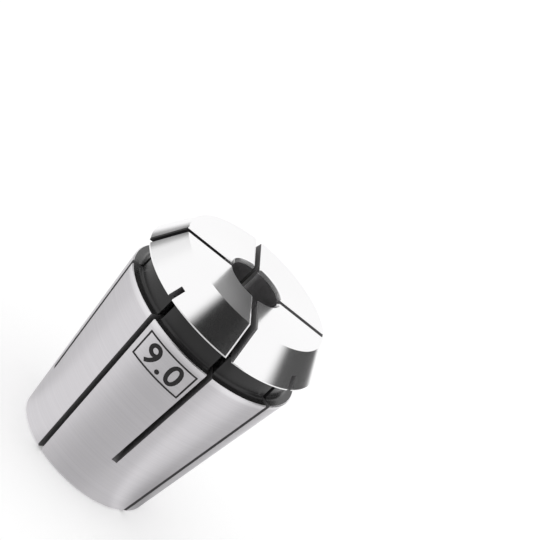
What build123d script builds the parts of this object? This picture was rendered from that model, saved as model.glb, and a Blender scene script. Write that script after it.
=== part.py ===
from build123d import *
import math
import os

# Slotted spring collet for rigid tapping, with a square drive inside.
#
# It is one piece of spring steel: turned, bored, broached, slotted, hardened and ground.
# A steep cone at the front is pushed by the clamping nut, and the long 8 degree taper
# closes in the spindle. Eight slots, four sawn from the front and four from the rear
# between them, leave a zigzag ring that springs shut evenly along the whole bore.
#
# The collet stands on its rear face. The origin is the centre of that face, and +Z is
# the axis, towards the nut.

# ---- Driving dimensions, in millimetres and degrees ----
length = 40.0              # rear face to front face

# Front cone, where the nut presses
rim_dia = 33.0             # the largest diameter, behind the front cone
nose_angle = 30.0          # between the front cone's side and the axis
nose_length = 5.25         # front face to rim, along the axis
rim_land = 0.22            # narrow cylindrical land on the rim

# Groove that the nut's ring hooks into, to pull the collet out again
groove_width = 4.23
groove_depth = 1.65        # below the front end of the long taper
groove_corner = 0.6        # radius at each side of the groove's floor
groove_lip = 0.15          # broken edge where the groove meets the long taper

# Long taper that seats in the spindle
seat_dia = 32.25           # at its front end, beside the groove
seat_angle = 8.0           # between the taper's side and the axis
tail_chamfer = 0.5         # at the rear end of the taper

# Stepped bore, from the front to the rear
bore_dia = 9.0             # grips the tap's round shank
grip_length = 22.0         # length of the round grip, from the front face
mouth_chamfer = 0.45
square_width = 7.1         # across the flats of the drive socket
square_length = 10.0
relief_step = 1.0          # how far the clearance bore behind it stands outside the grip
relief_chamfer = 0.5

# Slots
slot_width = 1.0
slots_per_end = 4
front_slot_land = 8.3      # solid ring left behind the front slots, at the surface
rear_slot_land = 3.35      # solid ring left in front of the rear slots, at the surface
saw_dia = 63.0             # slitting saw, whose rim leaves the curved blind ends
slot_bevel = 0.3           # width of the eased edges of the front slots, on the face and cone
slot_bevel_angle = 22.0    # between those eased edges and the face or cone

# ---- Sizes that follow ----
rim_radius = rim_dia / 2
rim_z = length - nose_length
groove_front_z = rim_z - rim_land
seat_front_z = groove_front_z - groove_width
groove_radius = seat_dia / 2 - groove_depth
face_radius = rim_radius - nose_length * math.tan(math.radians(nose_angle))
tail_radius = seat_dia / 2 - seat_front_z * math.tan(math.radians(seat_angle))
square_front_z = length - grip_length
square_rear_z = square_front_z - square_length
relief_radius = bore_dia / 2 + relief_step
saw_radius = saw_dia / 2
overrun = 2.0              # how far each slot's cut runs past the metal
saw_reach = rim_radius + overrun
bevel_reach = slot_width / 2 + slot_bevel   # from a slot's middle to its eased edge
bevel_depth = bevel_reach * math.tan(math.radians(slot_bevel_angle))


def seat_radius(z):
    """Radius of the long taper at height z."""
    return tail_radius + z * math.tan(math.radians(seat_angle))


def nose_radius(z, depth=0.0):
    """Radius at height z of a cone that lies this deep under the front cone."""
    slope = math.radians(nose_angle)
    return face_radius + (length - z) * math.tan(slope) - depth / math.cos(slope)


def saw_run(radius):
    """Axial distance from the saw's centre to its rim, at this radius of the collet.

    The saw sinks until its rim touches the collet's axis, so its centre stands one
    saw radius out from the axis.
    """
    return math.sqrt(saw_radius**2 - (saw_radius - radius) ** 2)


def blind_end(stop_z, stop_radius, side):
    """Three points of the arc that the saw leaves, from the axis outwards.

    It meets the outside of the collet at height stop_z and radius stop_radius. side is
    +1 where the slot opens at the front of the collet, and -1 at the rear.
    """
    centre_z = stop_z + side * saw_run(stop_radius)
    return [(r, centre_z - side * saw_run(r)) for r in (0, stop_radius, saw_reach)]


def radial_planes(first_angle):
    """Planes through the axis, one for each slot of one end, with local +X outwards."""
    step = 360 / slots_per_end
    return [Plane.XZ.rotated((0, 0, first_angle + step * i)) for i in range(slots_per_end)]


with BuildPart() as collet:
    # Turned outside: rear face, long taper, groove, rim, front cone, front face
    with BuildSketch(Plane.XZ):
        with BuildLine():
            Polyline(
                (0, 0),
                (tail_radius, 0),
                (seat_dia / 2, seat_front_z),
                (groove_radius, seat_front_z),
                (groove_radius, groove_front_z),
                (rim_radius, groove_front_z),
                (rim_radius, rim_z),
                (face_radius, length),
                (0, length),
                (0, 0),
            )
        make_face()
    revolve(axis=Axis.Z)

    circles = collet.edges().filter_by(GeomType.CIRCLE)
    chamfer(circles.group_by(Axis.Z)[0], tail_chamfer)
    circles = collet.edges().filter_by(GeomType.CIRCLE)
    groove_floor = [e for e in circles if abs(e.radius - groove_radius) < 0.01]
    fillet(groove_floor, groove_corner)
    circles = collet.edges().filter_by(GeomType.CIRCLE)
    chamfer([e for e in circles if abs(e.radius - seat_dia / 2) < 0.01], groove_lip)

    # Stepped bore: round grip, square drive socket, clearance bore
    with BuildSketch(Plane.XY.offset(square_front_z)):
        Circle(bore_dia / 2)
    extrude(amount=grip_length, mode=Mode.SUBTRACT)
    with BuildSketch(Plane.XY.offset(square_rear_z)):
        Rectangle(square_width, square_width)
    extrude(amount=square_length, mode=Mode.SUBTRACT)
    with BuildSketch(Plane.XY):
        Circle(relief_radius)
    extrude(amount=square_rear_z, mode=Mode.SUBTRACT)

    circles = collet.edges().filter_by(GeomType.CIRCLE)
    chamfer([e for e in circles.group_by(Axis.Z)[-1] if abs(e.radius - bore_dia / 2) < 0.01],
            mouth_chamfer)
    circles = collet.edges().filter_by(GeomType.CIRCLE)
    chamfer([e for e in circles.group_by(Axis.Z)[0] if abs(e.radius - relief_radius) < 0.01],
            relief_chamfer)

    # Front slots lie on the X and Y axes, so each crosses a flat of the socket
    front_end = blind_end(front_slot_land, seat_radius(front_slot_land), 1)
    with BuildSketch(*radial_planes(0)):
        with BuildLine():
            ThreePointArc(*front_end)
            Polyline(
                front_end[2],
                (saw_reach, length + overrun),
                (0, length + overrun),
                front_end[0],
            )
        make_face()
    extrude(amount=slot_width / 2, both=True, mode=Mode.SUBTRACT)

    # Rear slots lie halfway between them, through the socket's corners
    rear_slot_stop = length - rear_slot_land
    rear_end = blind_end(rear_slot_stop, nose_radius(rear_slot_stop), -1)
    with BuildSketch(*radial_planes(180 / slots_per_end)):
        with BuildLine():
            ThreePointArc(*rear_end)
            Polyline(rear_end[2], (saw_reach, -overrun), (0, -overrun), rear_end[0])
        make_face()
    extrude(amount=slot_width / 2, both=True, mode=Mode.SUBTRACT)

    # Eased edges of the front slots: a shallow V across the face and down the cone. The
    # area lies outside the nose, sunk by the V's depth, and shrinks back to the surface.
    bevel_z = length - bevel_depth
    low_z = rim_z - overrun
    with BuildSketch(*radial_planes(0)):
        with BuildLine():
            Polyline(
                (0, bevel_z),
                (nose_radius(bevel_z, bevel_depth), bevel_z),
                (nose_radius(low_z, bevel_depth), low_z),
                (saw_reach, low_z),
                (saw_reach, length + overrun),
                (0, length + overrun),
                (0, bevel_z),
            )
        make_face()
    extrude(amount=bevel_reach, both=True, taper=slot_bevel_angle, mode=Mode.SUBTRACT)

collet.part.label = "collet"

os.makedirs("parts", exist_ok=True)
export_step(collet.part, "parts/collet.step")
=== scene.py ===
"""Looks for a slotted spring collet: its steel finishes, size mark, studio and camera.

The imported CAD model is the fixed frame. The collet stands on its rear face on a pale floor,
and its axis is +Z. Lengths are metres. The steel's zones and lines, and the lens, are
millimetres. Left and right are as the camera sees the collet.
"""

import logging
import math
from dataclasses import dataclass
from enum import Enum

import bpy
from mathutils import Matrix, Vector


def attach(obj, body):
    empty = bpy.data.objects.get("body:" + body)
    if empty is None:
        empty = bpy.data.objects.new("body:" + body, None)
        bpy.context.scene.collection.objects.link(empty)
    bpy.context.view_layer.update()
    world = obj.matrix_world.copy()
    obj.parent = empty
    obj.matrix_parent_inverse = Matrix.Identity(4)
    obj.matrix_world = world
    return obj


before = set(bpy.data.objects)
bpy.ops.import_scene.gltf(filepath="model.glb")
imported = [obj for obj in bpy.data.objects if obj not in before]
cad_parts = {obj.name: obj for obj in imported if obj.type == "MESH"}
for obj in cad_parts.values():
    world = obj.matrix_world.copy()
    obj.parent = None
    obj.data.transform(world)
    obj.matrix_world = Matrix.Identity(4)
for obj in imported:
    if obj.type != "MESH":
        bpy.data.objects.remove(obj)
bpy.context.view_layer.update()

LOG = logging.getLogger("collet")
MM = 0.001

Colour = tuple[float, float, float]
Socket = bpy.types.NodeSocket
Value = float | Socket

BLACK: Colour = (0.0, 0.0, 0.0)
WHITE: Colour = (1.0, 1.0, 1.0)


class Finish(Enum):
    """The record's material slots."""

    GROUND_STEEL = "ground_steel"


# ---------------------------------------------------------------- node graphs


class Graph:
    """Adds nodes to one node tree and joins them."""

    def __init__(self, tree: bpy.types.NodeTree) -> None:
        """Empties the tree.

        Args:
            tree: The node tree to fill.
        """
        self.tree = tree
        tree.nodes.clear()

    def put(self, target: Socket, value: object) -> None:
        """Links a socket to an input, or sets the input to a plain value.

        Args:
            target: The input socket.
            value: An output socket, a number or a tuple.
        """
        if isinstance(value, bpy.types.NodeSocket):
            self.tree.links.new(value, target)
        else:
            target.default_value = value

    def node(self, kind: str, *values: object, **settings: object) -> bpy.types.Node:
        """Adds a node.

        Args:
            kind: The node's type, such as ShaderNodeMath.
            *values: What goes into its first inputs, in order.
            **settings: Attributes to set on it.

        Returns:
            The new node.
        """
        made = self.tree.nodes.new(kind)
        for name, value in settings.items():
            setattr(made, name, value)
        for target, value in zip(made.inputs, values):
            self.put(target, value)
        return made

    def filled(self, kind: str, values: dict[str, object], **settings: object) -> bpy.types.Node:
        """Adds a node whose inputs are told by name.

        Args:
            kind: The node's type.
            values: What goes into each input, by the input's name.
            **settings: Attributes to set on it.

        Returns:
            The new node.
        """
        made = self.node(kind, **settings)
        for name, value in values.items():
            self.put(made.inputs[name], value)
        return made

    def math(self, operation: str, *values: Value) -> Socket:
        """Adds a Math node and gives its output."""
        return self.node("ShaderNodeMath", *values, operation=operation).outputs[0]

    def vector(self, operation: str, *values: object) -> Socket:
        """Adds a Vector Math node and gives its vector output."""
        return self.node("ShaderNodeVectorMath", *values, operation=operation).outputs["Vector"]

    def above(self, value: Value, limit: Value) -> Socket:
        """Gives 1 where a value is above a limit, and 0 elsewhere."""
        return self.math("GREATER_THAN", value, limit)

    def below(self, value: Value, limit: Value) -> Socket:
        """Gives 1 where a value is below a limit, and 0 elsewhere."""
        return self.math("LESS_THAN", value, limit)

    def least(self, values: list[Socket]) -> Socket:
        """Finds the smallest of several values.

        Args:
            values: The values to compare.

        Returns:
            The smallest.
        """
        result = values[0]
        for value in values[1:]:
            result = self.math("MINIMUM", result, value)
        return result

    def product(self, values: list[Socket]) -> Socket:
        """Multiplies several values.

        Args:
            values: The values to multiply.

        Returns:
            Their product.
        """
        result = values[0]
        for value in values[1:]:
            result = self.math("MULTIPLY", result, value)
        return result

    def length(self, x: Socket, y: Socket) -> Socket:
        """Finds the length of a flat vector.

        Args:
            x: Its X part.
            y: Its Y part.

        Returns:
            Its length.
        """
        squares = self.math("ADD", self.math("MULTIPLY", x, x), self.math("MULTIPLY", y, y))
        return self.math("SQRT", squares)

    def ramp(self, value: Value, low: float, high: float) -> Socket:
        """Rises smoothly from 0 at low to 1 at high.

        Args:
            value: The value to follow.
            low: Where the result is 0.
            high: Where the result is 1. It may be below low.

        Returns:
            A number from 0 to 1.
        """
        turned = high < low
        made = self.filled("ShaderNodeMapRange", {
            "Value": value,
            "From Min": min(low, high),
            "From Max": max(low, high),
            "To Min": 1.0 if turned else 0.0,
            "To Max": 0.0 if turned else 1.0,
        }, interpolation_type="SMOOTHSTEP", clamp=True)
        return made.outputs["Result"]

    def blend(self, share: Value, first: Value, second: Value) -> Socket:
        """Blends two numbers.

        Args:
            share: 0 gives the first, and 1 the second.
            first: A socket or number.
            second: A socket or number.

        Returns:
            The blend.
        """
        made = self.node("ShaderNodeMix", share, data_type="FLOAT")
        _, *ends = (s for s in made.inputs if s.type == "VALUE")
        for target, value in zip(ends, (first, second)):
            self.put(target, value)
        return made.outputs[0]

    def tint(self, share: Value, first: Socket | Colour, second: Socket | Colour) -> Socket:
        """Blends two colours.

        Args:
            share: 0 gives the first, and 1 the second.
            first: A socket or colour.
            second: A socket or colour.

        Returns:
            The blend.
        """
        made = self.node("ShaderNodeMix", share, data_type="RGBA")
        ends = (s for s in made.inputs if s.type == "RGBA")
        for target, value in zip(ends, (first, second)):
            self.put(target, (*value, 1.0) if isinstance(value, tuple) else value)
        return next(s for s in made.outputs if s.type == "RGBA")

    def noise(self, vector: Socket, scale: float, detail: float) -> Socket:
        """Adds a 3-D noise pattern.

        Args:
            vector: Where to read it.
            scale: Its frequency.
            detail: Its number of octaves.

        Returns:
            A number around a half.
        """
        made = self.filled("ShaderNodeTexNoise", {
            "Vector": vector, "Scale": scale, "Detail": detail})
        return made.outputs["Fac"]

    def place(self) -> Socket:
        """Gives Object coordinates, in metres."""
        return self.node("ShaderNodeTexCoord").outputs["Object"]

    def split(self, vector: Socket) -> list[Socket]:
        """Gives a vector's X, Y and Z."""
        return list(self.node("ShaderNodeSeparateXYZ", vector).outputs)

    def rays(self) -> tuple[Socket, Socket]:
        """Tells what kind of ray meets a surface.

        Returns:
            1 for glossy rays, and 1 for the camera's rays and those through glass.
        """
        path = self.node("ShaderNodeLightPath").outputs
        seen = self.math("MAXIMUM", path["Is Camera Ray"], path["Is Transmission Ray"])
        return path["Is Glossy Ray"], seen

    def surface(self, shader: bpy.types.Node) -> None:
        """Makes a shader the material's surface."""
        self.node("ShaderNodeOutputMaterial", shader.outputs[0])


def new_material(name: str) -> tuple[bpy.types.Material, Graph]:
    """Starts a material made of nodes.

    Args:
        name: The material's name.

    Returns:
        The material, and the graph to fill.
    """
    made = bpy.data.materials.new(name)
    made.use_nodes = True
    return made, Graph(made.node_tree)


# ---------------------------------------------------------------- steel


@dataclass(frozen=True)
class ColletShape:
    """The collet's outline as its finishes need it, in millimetres.

    A slope is the radius gained for each millimetre of height, or lost on the nose.
    """

    length: float = 40.0
    face_radius: float = 13.469
    nose_slope: float = math.tan(math.radians(30.0))
    rim_radius: float = 16.5
    seat_front_z: float = 30.3
    groove_front_z: float = 34.53
    tail_radius: float = 11.867
    seat_slope: float = math.tan(math.radians(8.0))
    tail_chamfer: float = 0.5
    chamfer_slope: float = 1.15
    bore_zone: float = 6.05       # radius of the stepped bore with its chamfers
    mouth_depth: float = 0.5
    half_slot: float = 0.5
    eased_slot: float = 0.82      # from a slot's middle to the far side of its eased edge

    def outline(self, graph: Graph, z: Socket) -> Socket:
        """Radius of the outside at a height, with the slots and the groove filled.

        Args:
            graph: The graph to add nodes to.
            z: Height in millimetres.

        Returns:
            The radius in millimetres.
        """
        seat = graph.math("MULTIPLY_ADD", z, self.seat_slope, self.tail_radius)
        chamfer = graph.math(
            "MULTIPLY_ADD", z, self.chamfer_slope, self.tail_radius - self.tail_chamfer)
        seat = graph.math("MINIMUM", seat, chamfer)
        nose_start = self.face_radius + self.length * self.nose_slope
        nose = graph.math("MULTIPLY_ADD", z, -self.nose_slope, nose_start)
        nose = graph.math("MINIMUM", nose, self.rim_radius)
        front = graph.above(z, (self.seat_front_z + self.groove_front_z) / 2)
        return graph.blend(front, seat, nose)


@dataclass(frozen=True)
class Steel:
    """One finish of the steel: its colour, its roughness and how deep its lines are."""

    colour: Colour
    roughness: float
    metallic: float = 1.0
    relief: float = 1.0


@dataclass(frozen=True)
class ColletSteel:
    """Hardened spring steel: a polished head, a ground taper, scale left in the cuts, and
    painted shade on one eased edge of the cone.

    Lengths are millimetres. The lines are what grinding leaves, and run round the axis.
    """

    shape: ColletShape = ColletShape()
    head: Steel = Steel((0.965, 0.96, 0.965), 0.19, relief=0.2)
    taper: Steel = Steel((0.72, 0.702, 0.725), 0.40)
    bore: Steel = Steel((0.52, 0.51, 0.52), 0.34)
    rear: Steel = Steel((0.50, 0.49, 0.50), 0.42)
    shoulder: Steel = Steel((0.87, 0.855, 0.875), 0.37)
    slots: Steel = Steel((0.145, 0.142, 0.145), 0.6, metallic=0.0, relief=0.0)
    # the groove's own dark scale; the same finish also paints shade on one eased edge of the
    # cone
    groove: Steel = Steel((0.021, 0.0205, 0.021), 0.22, metallic=0.0, relief=0.5)
    specular: float = 0.37
    anisotropy: float = 0.85
    quarter_turn: float = 0.25
    edge: float = 0.03              # a face this close to a zone's limit belongs to it
    slot_edge: float = 0.01         # the same across a slot
    groove_edge: float = 0.2        # the groove's finish starts this deep
    edge_shade_stop: float = 0.15        # the painted shade on the eased edge ends this far from the face
    shoulder_start: float = 1.3     # the shoulder's finish starts this far behind the groove
    shoulder_full: float = 0.4      # and is full this far behind it
    line_pitch: float = 0.11
    line_depth: float = 0.0006
    line_strength: float = 0.35
    line_detail: float = 3.0
    line_spread: float = 0.02       # how much a line changes across X and Y, by millimetre
    line_slant: float = 1.7         # lines to a millimetre of radius, against one of height
    line_low: float = 0.3
    line_high: float = 0.7
    line_darkness: float = 0.045
    line_roughness: float = 1.1

    def material(self) -> bpy.types.Material:
        """Builds the material.

        Returns:
            A material of one Principled shader, whose zones follow the collet's outline.
        """
        made, graph = new_material("ground_steel_finish")
        place = graph.place()
        x, y, z = graph.split(graph.vector("MULTIPLY", place, (1 / MM, 1 / MM, 1 / MM)))
        radius = graph.length(x, y)
        zones = self._zones(graph, x, y, z, radius)
        lines = self._lines(graph, x, y, z, radius)
        colour, roughness, metallic, relief = self._finish(graph, zones, lines)
        around = graph.vector("NORMALIZE", graph.vector("CROSS_PRODUCT", (0.0, 0.0, 1.0), place))
        bump = graph.filled("ShaderNodeBump", {
            "Strength": self.line_strength,
            "Distance": self.line_depth * MM,
            "Height": graph.math("MULTIPLY", lines, relief),
        })
        graph.surface(graph.filled("ShaderNodeBsdfPrincipled", {
            "Base Color": colour,
            "Metallic": metallic,
            "Roughness": roughness,
            "Specular IOR Level": self.specular,
            "Anisotropic": self.anisotropy,
            "Anisotropic Rotation": self.quarter_turn,
            "Tangent": around,
            "Normal": bump.outputs[0],
        }))
        return made

    def _zones(self, graph: Graph, x: Socket, y: Socket, z: Socket,
               radius: Socket) -> list[tuple[Socket, Steel]]:
        """Finds where each finish lies, and where shade is painted on one eased edge of the
        cone.

        Args:
            graph: The graph to add nodes to.
            x: Place along X, in millimetres.
            y: Place along Y.
            z: Height.
            radius: Distance from the axis.

        Returns:
            Masks from 0 to 1, each with its finish. A later one lies over an earlier one.
        """
        shape = self.shape
        depth = graph.math("SUBTRACT", shape.outline(graph, z), radius)
        past_bore = graph.above(radius, shape.bore_zone)
        shoulder = graph.ramp(
            z, shape.seat_front_z - self.shoulder_start, shape.seat_front_z - self.shoulder_full)
        head = graph.above(z, shape.groove_front_z - self.edge)
        rear = graph.below(z, self.edge)
        bore = graph.product([
            graph.below(radius, shape.bore_zone),
            graph.below(z, shape.length - shape.mouth_depth),
            graph.above(z, self.edge),
        ])
        slots = graph.product([
            graph.below(self._from_slot(graph, x, y), shape.half_slot + self.slot_edge),
            graph.above(depth, self.edge),
            past_bore,
            graph.below(z, shape.length - self.edge),
            graph.above(z, self.edge),
        ])
        groove = graph.product([
            graph.above(z, shape.seat_front_z - self.edge),
            graph.below(z, shape.groove_front_z + self.edge),
            graph.above(depth, self.groove_edge),
            past_bore,
        ])
        # Painted shade on one eased edge of the cone, beside the slot on -X: the groove's dark
        # finish is laid there in place of the light that the edge reflects
        scale = graph.product([
            graph.below(x, -shape.bore_zone),
            graph.above(y, 0.0),
            graph.below(y, shape.eased_slot),
            graph.above(z, shape.groove_front_z),
            graph.below(z, shape.length - self.edge_shade_stop),
        ])
        # the groove's real scale, joined with the painted shade on the eased edge
        dark = graph.math("MAXIMUM", groove, scale)
        return [(shoulder, self.shoulder), (head, self.head), (rear, self.rear),
                (bore, self.bore), (slots, self.slots), (dark, self.groove)]

    def _from_slot(self, graph: Graph, x: Socket, y: Socket) -> Socket:
        """Finds the distance from the nearest slot's middle plane.

        Args:
            graph: The graph to add nodes to.
            x: Place along X, in millimetres.
            y: Place along Y.

        Returns:
            The distance in millimetres.
        """
        diagonal = math.sqrt(0.5)
        falling = graph.math("MULTIPLY", graph.math("SUBTRACT", x, y), diagonal)
        rising = graph.math("MULTIPLY", graph.math("ADD", x, y), diagonal)
        return graph.least([graph.math("ABSOLUTE", s) for s in (x, y, falling, rising)])

    def _lines(self, graph: Graph, x: Socket, y: Socket, z: Socket, radius: Socket) -> Socket:
        """Fine lines that run round the axis, on the face as on the sides.

        Args:
            graph: The graph to add nodes to.
            x: Place along X, in millimetres.
            y: Place along Y.
            z: Height.
            radius: Distance from the axis.

        Returns:
            A height around a half.
        """
        along = graph.math("SUBTRACT", z, graph.math("MULTIPLY", radius, self.line_slant))
        stretched = graph.node(
            "ShaderNodeCombineXYZ",
            graph.math("MULTIPLY", x, self.line_spread),
            graph.math("MULTIPLY", y, self.line_spread),
            graph.math("MULTIPLY", along, 1 / self.line_pitch))
        return graph.noise(stretched.outputs[0], 1.0, self.line_detail)

    def _finish(self, graph: Graph, zones: list[tuple[Socket, Steel]],
                lines: Socket) -> tuple[Socket, Socket, Socket, Socket]:
        """Lays each zone's finish over the taper's.

        Args:
            graph: The graph to add nodes to.
            zones: The masks, each with its finish.
            lines: The grinding lines.

        Returns:
            The colour, the roughness, the metallic share and how deep the lines are.
        """
        colour: Socket | Colour = self.taper.colour
        roughness: Value = self.taper.roughness
        metallic: Value = self.taper.metallic
        relief: Value = self.taper.relief
        for mask, steel in zones:
            colour = graph.tint(mask, colour, steel.colour)
            roughness = graph.blend(mask, roughness, steel.roughness)
            metallic = graph.blend(mask, metallic, steel.metallic)
            relief = graph.blend(mask, relief, steel.relief)
        worn = graph.math("MULTIPLY", graph.ramp(lines, self.line_low, self.line_high), relief)
        colour = graph.tint(graph.math("MULTIPLY", worn, self.line_darkness), colour, BLACK)
        rougher = graph.blend(worn, 1.0, self.line_roughness)
        return colour, graph.math("MULTIPLY", roughness, rougher), metallic, relief


@dataclass(frozen=True)
class MarkInk:
    """The dark film that a marking laser leaves on ground steel."""

    colour: Colour = (0.016, 0.015, 0.016)
    faded: Colour = (0.03, 0.028, 0.03)
    roughness: float = 0.6
    specular: float = 0.25
    grain: float = 9000.0
    grain_detail: float = 4.0
    grain_low: float = 0.4
    grain_high: float = 0.75

    def material(self) -> bpy.types.Material:
        """Builds the material.

        Returns:
            A dark film with a fine uneven grain.
        """
        made, graph = new_material("laser_mark_finish")
        grain = graph.noise(graph.place(), self.grain, self.grain_detail)
        patchy = graph.ramp(grain, self.grain_low, self.grain_high)
        graph.surface(graph.filled("ShaderNodeBsdfPrincipled", {
            "Base Color": graph.tint(patchy, self.colour, self.faded),
            "Metallic": 0.0,
            "Roughness": self.roughness,
            "Specular IOR Level": self.specular,
        }))
        return made


# ---------------------------------------------------------------- pieces


def deselect() -> None:
    """Deselects every object and leaves edit mode."""
    if bpy.context.object and bpy.context.object.mode != "OBJECT":
        bpy.ops.object.mode_set(mode="OBJECT")
    bpy.ops.object.select_all(action="DESELECT")


@dataclass(frozen=True)
class ColletBody:
    """The collet itself: the CAD node, dressed."""

    node: str = "collet"
    finish: ColletSteel = ColletSteel()

    def build(self) -> bpy.types.Object:
        """Gives the CAD node its steel.

        Returns:
            The CAD node's object.
        """
        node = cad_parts[self.node]
        node.material_slots[0].material = self.finish.material()
        return node


@dataclass(frozen=True)
class SizeMark:
    """A plain framed size number, marked on the taper between two slots.

    It is drawn flat in the XZ plane, facing -Y, and then bent round the axis and turned to
    its place at polar_deg.
    """

    name: str = "size_mark"
    text: str = "9.0"
    width: float = 9.95 * MM
    height: float = 5.2 * MM
    line: float = 0.29 * MM
    digit_height: float = 3.9 * MM
    digit_share: float = 0.73       # a digit's height, as a share of the text's size
    digit_swell: float = 0.1 * MM   # how far each stroke's sides are moved out
    digit_gap: float = 1.12         # room between the digits, as a share of the usual
    digit_steps: int = 6            # straight steps in each stretch of a digit's curves
    polar_deg: float = -111.9
    middle_z: float = 26.35 * MM
    radius: float = 15.57 * MM
    film: float = 0.02 * MM
    gap: float = 0.006 * MM
    cut: float = 0.2 * MM
    ink: MarkInk = MarkInk()

    def build(self, carrier: bpy.types.Object) -> bpy.types.Object:
        """Makes the mark and lays it on the taper.

        Args:
            carrier: The collet, whose surface it lies on.

        Returns:
            The mark.
        """
        mark = self._border()
        digits = self._digits()
        deselect()
        mark.select_set(True)
        digits.select_set(True)
        bpy.context.view_layer.objects.active = mark
        bpy.ops.object.join()
        mark.name = mark.data.name = self.name
        self._slice()
        self._lay(mark, carrier)
        mark.data.materials.clear()
        mark.data.materials.append(self.ink.material())
        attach(mark, "root")
        return mark

    def _border(self) -> bpy.types.Object:
        """Makes the flat frame.

        Returns:
            The frame.
        """
        deselect()
        bpy.ops.mesh.primitive_plane_add(size=1.0, rotation=(math.pi / 2, 0.0, 0.0))
        border = bpy.context.object
        border.scale = (self.width, self.height, 1.0)
        bpy.ops.object.transform_apply(rotation=True, scale=True)
        bpy.ops.object.mode_set(mode="EDIT")
        bpy.ops.mesh.select_all(action="SELECT")
        bpy.ops.mesh.inset(thickness=self.line, depth=0.0)
        bpy.ops.mesh.delete(type="FACE")
        bpy.ops.object.mode_set(mode="OBJECT")
        return border

    def _digits(self) -> bpy.types.Object:
        """Makes the flat number, upright in the middle of the frame.

        Returns:
            The number, as a mesh.
        """
        deselect()
        bpy.ops.object.text_add(rotation=(math.pi / 2, 0.0, 0.0))
        text = bpy.context.object.data
        text.body = self.text
        text.align_x = "CENTER"
        text.size = self.digit_height / self.digit_share
        text.offset = self.digit_swell
        text.resolution_u = self.digit_steps
        text.space_character = self.digit_gap
        bpy.ops.object.convert(target="MESH")
        digits = bpy.context.object
        bpy.ops.object.transform_apply(rotation=True, scale=True)
        across = [v.co.x for v in digits.data.vertices]
        up = [v.co.z for v in digits.data.vertices]
        digits.location = (-(min(across) + max(across)) / 2, 0.0, -(min(up) + max(up)) / 2)
        bpy.ops.object.transform_apply(location=True)
        return digits

    def _slice(self) -> None:
        """Cuts the flat mark into narrow strips each way, so that it can bend."""
        bpy.ops.object.mode_set(mode="EDIT")
        for size, normal in ((self.width, Vector((1.0, 0.0, 0.0))),
                             (self.height, Vector((0.0, 0.0, 1.0)))):
            for step in range(1, int(size / self.cut)):
                bpy.ops.mesh.select_all(action="SELECT")
                bpy.ops.mesh.bisect(
                    plane_co=(step * self.cut - size / 2) * normal, plane_no=normal)
        bpy.ops.object.mode_set(mode="OBJECT")

    def _lay(self, mark: bpy.types.Object, carrier: bpy.types.Object) -> None:
        """Bends the mark round the taper, lays it on the surface and thickens it.

        Args:
            mark: The sliced mark.
            carrier: The collet.
        """
        bend = mark.modifiers.new("bend", "SIMPLE_DEFORM")
        bend.deform_method = "BEND"
        bend.deform_axis = "Z"
        bend.angle = self.width / self.radius
        bpy.ops.object.modifier_apply(modifier=bend.name)
        turn = Matrix.Rotation(math.radians(self.polar_deg + 90.0), 4, "Z")
        mark.matrix_world = turn @ Matrix.Translation((0.0, -self.radius, self.middle_z))
        bpy.ops.object.transform_apply(location=True, rotation=True, scale=True)
        wrap = mark.modifiers.new("wrap", "SHRINKWRAP")
        wrap.target = carrier
        wrap.wrap_method = "NEAREST_SURFACEPOINT"
        wrap.wrap_mode = "ABOVE_SURFACE"
        wrap.offset = self.gap
        bpy.ops.object.modifier_apply(modifier=wrap.name)
        thick = mark.modifiers.new("thick", "SOLIDIFY")
        thick.thickness = self.film
        thick.offset = 1.0
        bpy.ops.object.modifier_apply(modifier=thick.name)


# ---------------------------------------------------------------- studio


@dataclass(frozen=True)
class Span:
    """A stretch of directions with soft ends, in degrees."""

    start: float
    end: float
    start_soft: float
    end_soft: float

    def cover(self, graph: Graph, angle: Socket) -> Socket:
        """Tells where the span lies.

        Args:
            graph: The graph to add nodes to.
            angle: A direction, in degrees.

        Returns:
            1 inside the span, down to 0 outside it.
        """
        started = graph.ramp(angle, self.start - self.start_soft, self.start + self.start_soft)
        not_ended = graph.ramp(angle, self.end + self.end_soft, self.end - self.end_soft)
        return graph.math("MULTIPLY", started, not_ended)


@dataclass(frozen=True)
class Flag:
    """A dark flag of the studio, or a reflector, which only reflections show.

    Azimuths are polar angles in the floor's plane. Elevations below 0 lie on the floor, as
    seen from the collet's head. A reflector's darkness is below 0.
    """

    azimuth: Span
    elevation: Span
    darkness: float

    def shade(self, graph: Graph, azimuth: Socket, elevation: Socket) -> Socket:
        """Finds the light that the flag leaves in each direction.

        Args:
            graph: The graph to add nodes to.
            azimuth: Direction round the collet, in degrees.
            elevation: Direction above the horizon, in degrees.

        Returns:
            1 where the flag isn't, and 1 - darkness behind it.
        """
        covered = graph.math("MULTIPLY", self.azimuth.cover(graph, azimuth),
                             self.elevation.cover(graph, elevation))
        return graph.math("MULTIPLY_ADD", covered, -self.darkness, 1.0)


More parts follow.
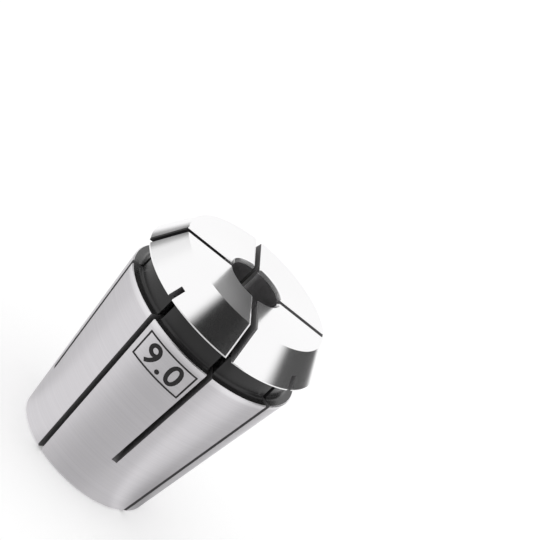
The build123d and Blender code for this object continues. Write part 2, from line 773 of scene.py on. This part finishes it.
@dataclass(frozen=True)
class Studio:
    """A pale floor and a white dome, with flags that give the steel its contrast."""

    flags: tuple[Flag, ...] = (
        # Black patch on the middle of the cone
        Flag(Span(-130.0, -69.0, 8.0, 2.0), Span(10.0, 80.0, 12.0, 6.0), 1.0),
        # Dark band on the right of the cone
        Flag(Span(-16.0, 44.0, 9.0, 4.0), Span(-8.0, 32.0, 3.0, 8.0), 0.93),
        # Dark edge and light shade on the left of the cone
        Flag(Span(107.0, 128.0, 8.0, 8.0), Span(-14.0, 28.0, 6.0, 8.0), 0.9),
        Flag(Span(116.0, 152.0, 8.0, 12.0), Span(2.0, 32.0, 6.0, 8.0), 0.13),
        # Shade on the middle of the groove and its rim, and down the middle of the taper
        Flag(Span(-141.0, -58.0, 12.0, 5.0), Span(-26.0, -6.0, 3.0, 6.0), 0.48),
        Flag(Span(-143.0, -57.0, 14.0, 5.0), Span(-100.0, -36.0, 1.0, 12.0), 0.29),
        # Dark band on the right of the taper, and its wider foot
        Flag(Span(-23.0, 24.0, 12.0, 3.0), Span(-100.0, -26.0, 1.0, 6.0), 0.33),
        Flag(Span(-40.0, -6.0, 12.0, 8.0), Span(-100.0, -52.0, 1.0, 9.0), 0.42),
        # Bright strip at the right edge of the taper
        Flag(Span(34.0, 80.0, 6.0, 12.0), Span(-100.0, -14.0, 1.0, 5.0), -0.3),
        # Light shade on the left of the taper
        Flag(Span(120.0, 164.0, 10.0, 10.0), Span(-100.0, -26.0, 1.0, 6.0), 0.22),
        # Grey overhead, which the face shows from above
        Flag(Span(-200.0, 200.0, 1.0, 1.0), Span(76.0, 110.0, 12.0, 1.0), 0.45),
    )
    head_height: float = 37.0 * MM
    floor_radius: float = 3.0
    floor_sides: int = 96
    floor_colour: Colour = (0.80, 0.80, 0.80)
    floor_lift: float = 0.26
    dome: float = 1.0
    post_radius: float = 4.4 * MM
    post_sides: int = 64
    post_bottom: float = 40.3 * MM
    post_length: float = 90.0 * MM
    post_bright: float = 0.28
    post_dim: float = 0.15
    post_bright_side: float = -1.0  # along X, as a share of the post's radius
    post_dim_side: float = 0.3
    post_foot: float = 0.62         # the foot's share of the light above it
    post_fade: float = 4.0 * MM

    def build(self) -> bpy.types.Object:
        """Makes the dome, the post and the floor.

        Returns:
            The floor.
        """
        self._dome()
        self._post()
        return self._floor()

    def _flagged(self, graph: Graph, x: Socket, y: Socket, elevation: Socket) -> Socket:
        """Finds the light that reflections show in one direction.

        Args:
            graph: The graph to add nodes to.
            x: The direction's X part.
            y: The direction's Y part.
            elevation: Direction above the horizon, in degrees.

        Returns:
            The light: 1 with no flag there, less behind a flag, more on a reflector.
        """
        azimuth = graph.math("DEGREES", graph.math("ARCTAN2", y, x))
        return graph.product([f.shade(graph, azimuth, elevation) for f in self.flags])

    def _dome(self) -> None:
        """Sets up the world: white, with the flags in its reflections."""
        world = bpy.data.worlds.new("studio_dome")
        bpy.context.scene.world = world
        world.use_nodes = True
        graph = Graph(world.node_tree)
        x, y, z = graph.split(graph.node("ShaderNodeTexCoord").outputs["Generated"])
        elevation = graph.math("DEGREES", graph.math("ARCSINE", z))
        flagged = self._flagged(graph, x, y, elevation)
        glossy, seen = graph.rays()
        strength = graph.blend(seen, graph.blend(glossy, self.dome, flagged), 1.0)
        light = graph.node("ShaderNodeBackground", (*WHITE, 1.0), strength)
        graph.node("ShaderNodeOutputWorld", light.outputs[0])

    def _post(self) -> bpy.types.Object:
        """Makes the slim grey flag over the bore, which only the face's reflection shows.

        Returns:
            The flag.
        """
        deselect()
        bpy.ops.mesh.primitive_cylinder_add(
            vertices=self.post_sides, radius=self.post_radius, depth=self.post_length,
            location=(0.0, 0.0, self.post_bottom + self.post_length / 2))
        post = bpy.context.object
        post.name = post.data.name = "studio_flag"
        post.data.materials.append(self._post_material())
        for kind in ("camera", "diffuse", "shadow", "transmission", "volume_scatter"):
            setattr(post, f"visible_{kind}", False)
        return post

    def _post_material(self) -> bpy.types.Material:
        """Builds the grey flag's material.

        Returns:
            A dull glow, dimmer on the +X side and at the foot.
        """
        made, graph = new_material("studio_flag_finish")
        x, _, z = graph.split(graph.place())
        side = graph.math("MULTIPLY", x, 1 / self.post_radius)
        dimmer = graph.ramp(side, self.post_bright_side, self.post_dim_side)
        around = graph.blend(dimmer, self.post_bright, self.post_dim)
        foot = -self.post_length / 2
        upwards = graph.blend(graph.ramp(z, foot, foot + self.post_fade), self.post_foot, 1.0)
        graph.surface(graph.filled("ShaderNodeEmission", {
            "Strength": graph.math("MULTIPLY", around, upwards)}))
        return made

    def _floor(self) -> bpy.types.Object:
        """Makes the floor, at the height of the collet's rear face.

        Returns:
            The floor.
        """
        deselect()
        bpy.ops.mesh.primitive_circle_add(
            vertices=self.floor_sides, radius=self.floor_radius, fill_type="NGON")
        floor = bpy.context.object
        floor.name = floor.data.name = "studio_floor"
        floor.data.materials.append(self._floor_material())
        return floor

    def _floor_material(self) -> bpy.types.Material:
        """Builds the floor's material.

        Returns:
            A pale matt floor that keeps shadows, and whose reflections show the flags.
        """
        made, graph = new_material("studio_floor_finish")
        x, y, _ = graph.split(graph.place())
        elevation = graph.math("DEGREES", graph.math(
            "ARCTAN2", -self.head_height, graph.length(x, y)))
        flagged = self._flagged(graph, x, y, elevation)
        glossy, seen = graph.rays()
        matt = graph.filled("ShaderNodeBsdfDiffuse", {"Color": (*self.floor_colour, 1.0)})
        lift = graph.filled("ShaderNodeEmission", {
            "Strength": graph.math("MULTIPLY", seen, self.floor_lift)})
        lifted = graph.node("ShaderNodeAddShader", matt.outputs[0], lift.outputs[0])
        mirrored = graph.filled("ShaderNodeEmission", {"Strength": flagged})
        graph.surface(graph.node(
            "ShaderNodeMixShader", glossy, lifted.outputs[0], mirrored.outputs[0]))
        return made


@dataclass(frozen=True)
class StudioCamera:
    """The camera: its place round the collet, its roll and its lens."""

    azimuth_deg: float = -18.42
    elevation_deg: float = 21.76
    roll_deg: float = 45.54
    distance: float = 0.62516
    aim_right: float = 15.049 * MM
    aim_up: float = 14.945 * MM
    middle_height: float = 20.0 * MM
    lens_mm: float = 274.6
    sensor_mm: float = 36.0

    def build(self) -> bpy.types.Object:
        """Makes the camera and gives it to the scene.

        Returns:
            The camera.
        """
        azimuth, elevation, roll = (
            math.radians(a) for a in (self.azimuth_deg, self.elevation_deg, self.roll_deg))
        back = Vector((
            math.sin(azimuth) * math.cos(elevation),
            -math.cos(azimuth) * math.cos(elevation),
            math.sin(elevation)))
        level = Vector((math.cos(azimuth), math.sin(azimuth), 0.0))
        upright = back.cross(level)
        right = math.cos(roll) * level + math.sin(roll) * upright
        top = -math.sin(roll) * level + math.cos(roll) * upright
        middle = Vector((0.0, 0.0, self.middle_height))
        place = middle + self.aim_right * right + self.aim_up * top + self.distance * back
        data = bpy.data.cameras.new("studio_camera")
        data.lens = self.lens_mm
        data.sensor_width = self.sensor_mm
        camera = bpy.data.objects.new("studio_camera", data)
        bpy.context.scene.collection.objects.link(camera)
        camera.matrix_world = Matrix((
            (right.x, top.x, back.x, place.x),
            (right.y, top.y, back.y, place.y),
            (right.z, top.z, back.z, place.z),
            (0.0, 0.0, 0.0, 1.0)))
        bpy.context.scene.camera = camera
        return camera


def report(piece: bpy.types.Object) -> None:
    """Logs a piece's name and its number of faces."""
    LOG.info("%s: %d faces", piece.name, len(piece.data.polygons))


def main() -> None:
    """Builds the camera, the studio and each piece in turn, and reports them."""
    logging.basicConfig(level=logging.INFO, format="%(name)s: %(message)s")
    bpy.context.scene.view_settings.view_transform = "Standard"
    StudioCamera().build()
    report(Studio().build())
    body = ColletBody().build()
    report(body)
    report(SizeMark().build(body))


if __name__ == "__main__":
    main()
